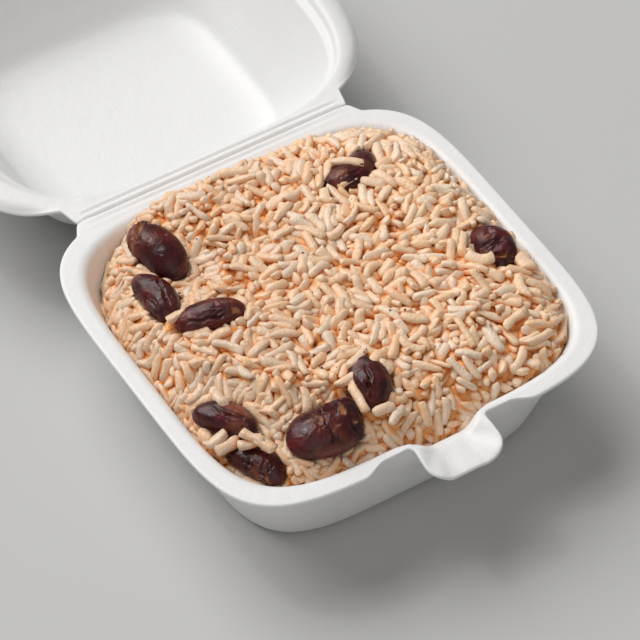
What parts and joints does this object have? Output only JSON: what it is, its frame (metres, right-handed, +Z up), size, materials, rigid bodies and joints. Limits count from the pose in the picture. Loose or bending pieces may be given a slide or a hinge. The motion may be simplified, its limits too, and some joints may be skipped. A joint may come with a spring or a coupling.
{
  "type": "hinged foam takeaway box filled with rice and red beans",
  "caption": "Square white foam clamshell box, lid open on a creased hinge, heaped with cooked rice and half-sunk red kidney beans.",
  "frame": {"origin": "underside of the tray, below the middle of its rim", "axes": "+Z up; +Y from the tray towards the hinge and the open lid; the pull tab points to -Y"},
  "size_m": [0.1473, 0.2796, 0.051],
  "materials": {
    "foam": "white expanded foam, smooth pressed skin with a faint bead texture and a soft sheen",
    "rice": "moist cooked grains, cream to peach, slightly translucent",
    "bean": "dark maroon wrinkled skin, wet gloss"
  },
  "bodies": {
    "box_base": {"tray": "foam", "rice": "rice", "bean_1": "bean", "bean_2": "bean", "bean_3": "bean", "bean_4": "bean", "bean_5": "bean", "bean_6": "bean", "bean_7": "bean", "bean_8": "bean", "bean_9": "bean"},
    "box_lid": {"lid": "foam"}
  },
  "joints": [
    {"name": "lid_hinge", "type": "hinge", "parent": "box_base", "child": "box_lid", "pos_m": [0, 0.0663, 0.0373], "axis": [1, 0, 0], "range_deg": [0, 179.7]}
  ]
}
